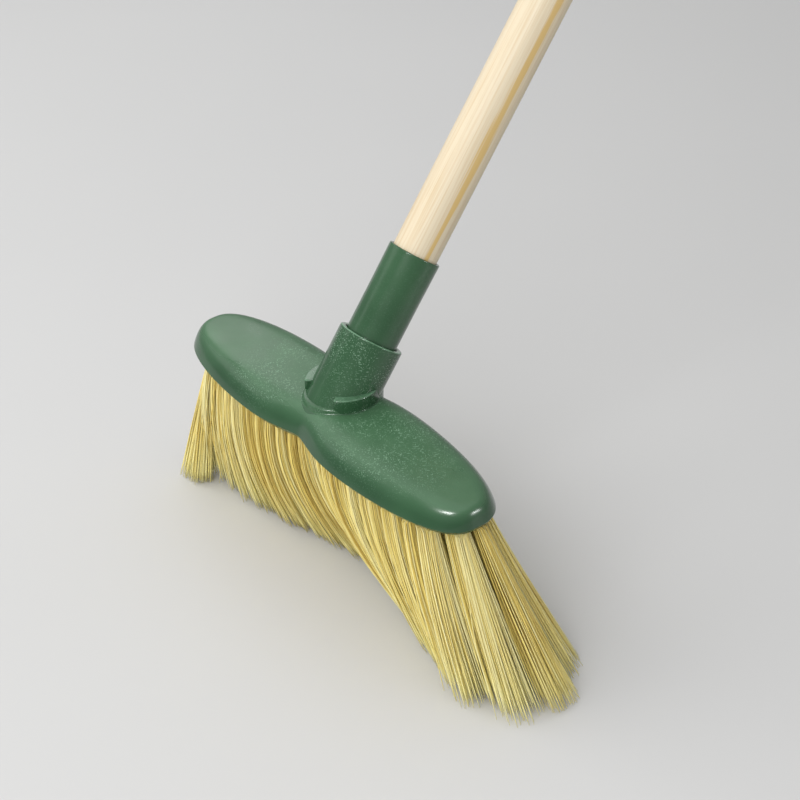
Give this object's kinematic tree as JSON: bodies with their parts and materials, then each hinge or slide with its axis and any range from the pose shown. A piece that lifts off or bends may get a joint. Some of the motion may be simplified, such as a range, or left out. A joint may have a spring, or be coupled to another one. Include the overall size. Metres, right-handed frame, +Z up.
{
  "type": "broom",
  "caption": "Household push broom with a two-lobed plastic head, swept straw-coloured bristles and a leaning wooden pole held in a plastic ferrule.",
  "frame": {"origin": "middle of the whole object's box in X and Y, on the floor under the bristle tips", "axes": "+X along the head, from its left to its right end as seen from the sweeping side; +Y the way the pole leans; +Z up"},
  "size_m": [0.346, 0.7584, 1.1118],
  "materials": {
    "green_plastic": "satin moulded plastic with a fine speckled texture",
    "pale_pine": "smooth, bare softwood with straight grain",
    "brad_steel": "plain nail head",
    "straw_bristle": "drawn plastic strands with a soft sheen"
  },
  "bodies": {
    "head": {"broom_head": "green_plastic", "tuft_back_01": "straw_bristle", "tuft_back_02": "straw_bristle", "tuft_back_03": "straw_bristle", "tuft_back_04": "straw_bristle", "tuft_back_05": "straw_bristle", "tuft_back_06": "straw_bristle", "tuft_back_07": "straw_bristle", "tuft_back_08": "straw_bristle", "tuft_back_09": "straw_bristle", "tuft_back_10": "straw_bristle", "tuft_back_11": "straw_bristle", "tuft_back_12": "straw_bristle", "tuft_front_01": "straw_bristle", "tuft_front_02": "straw_bristle", "tuft_front_03": "straw_bristle", "tuft_front_04": "straw_bristle", "tuft_front_05": "straw_bristle", "tuft_front_06": "straw_bristle", "tuft_front_07": "straw_bristle", "tuft_front_08": "straw_bristle", "tuft_front_09": "straw_bristle", "tuft_front_10": "straw_bristle", "tuft_front_11": "straw_bristle", "tuft_front_12": "straw_bristle", "tuft_left_back": "straw_bristle", "tuft_left_end": "straw_bristle", "tuft_left_front": "straw_bristle", "tuft_mid_back_01": "straw_bristle", "tuft_mid_back_02": "straw_bristle", "tuft_mid_back_03": "straw_bristle", "tuft_mid_back_04": "straw_bristle", "tuft_mid_back_05": "straw_bristle", "tuft_mid_back_06": "straw_bristle", "tuft_mid_back_07": "straw_bristle", "tuft_mid_back_08": "straw_bristle", "tuft_mid_back_09": "straw_bristle", "tuft_mid_back_10": "straw_bristle", "tuft_mid_back_11": "straw_bristle", "tuft_mid_front_01": "straw_bristle", "tuft_mid_front_02": "straw_bristle", "tuft_mid_front_03": "straw_bristle", "tuft_mid_front_04": "straw_bristle", "tuft_mid_front_05": "straw_bristle", "tuft_mid_front_06": "straw_bristle", "tuft_mid_front_07": "straw_bristle", "tuft_mid_front_08": "straw_bristle", "tuft_mid_front_09": "straw_bristle", "tuft_mid_front_10": "straw_bristle", "tuft_mid_front_11": "straw_bristle", "tuft_right_back": "straw_bristle", "tuft_right_end": "straw_bristle", "tuft_right_front": "straw_bristle"},
    "handle": {"ferrule": "green_plastic", "ferrule_brad": "brad_steel", "pole": "pale_pine"}
  },
  "joints": [
    {"name": "pole_out_of_socket", "type": "slide", "parent": "head", "child": "handle", "axis": [0, 0.5835, 0.8121], "range_m": [0, 0.06]}
  ]
}
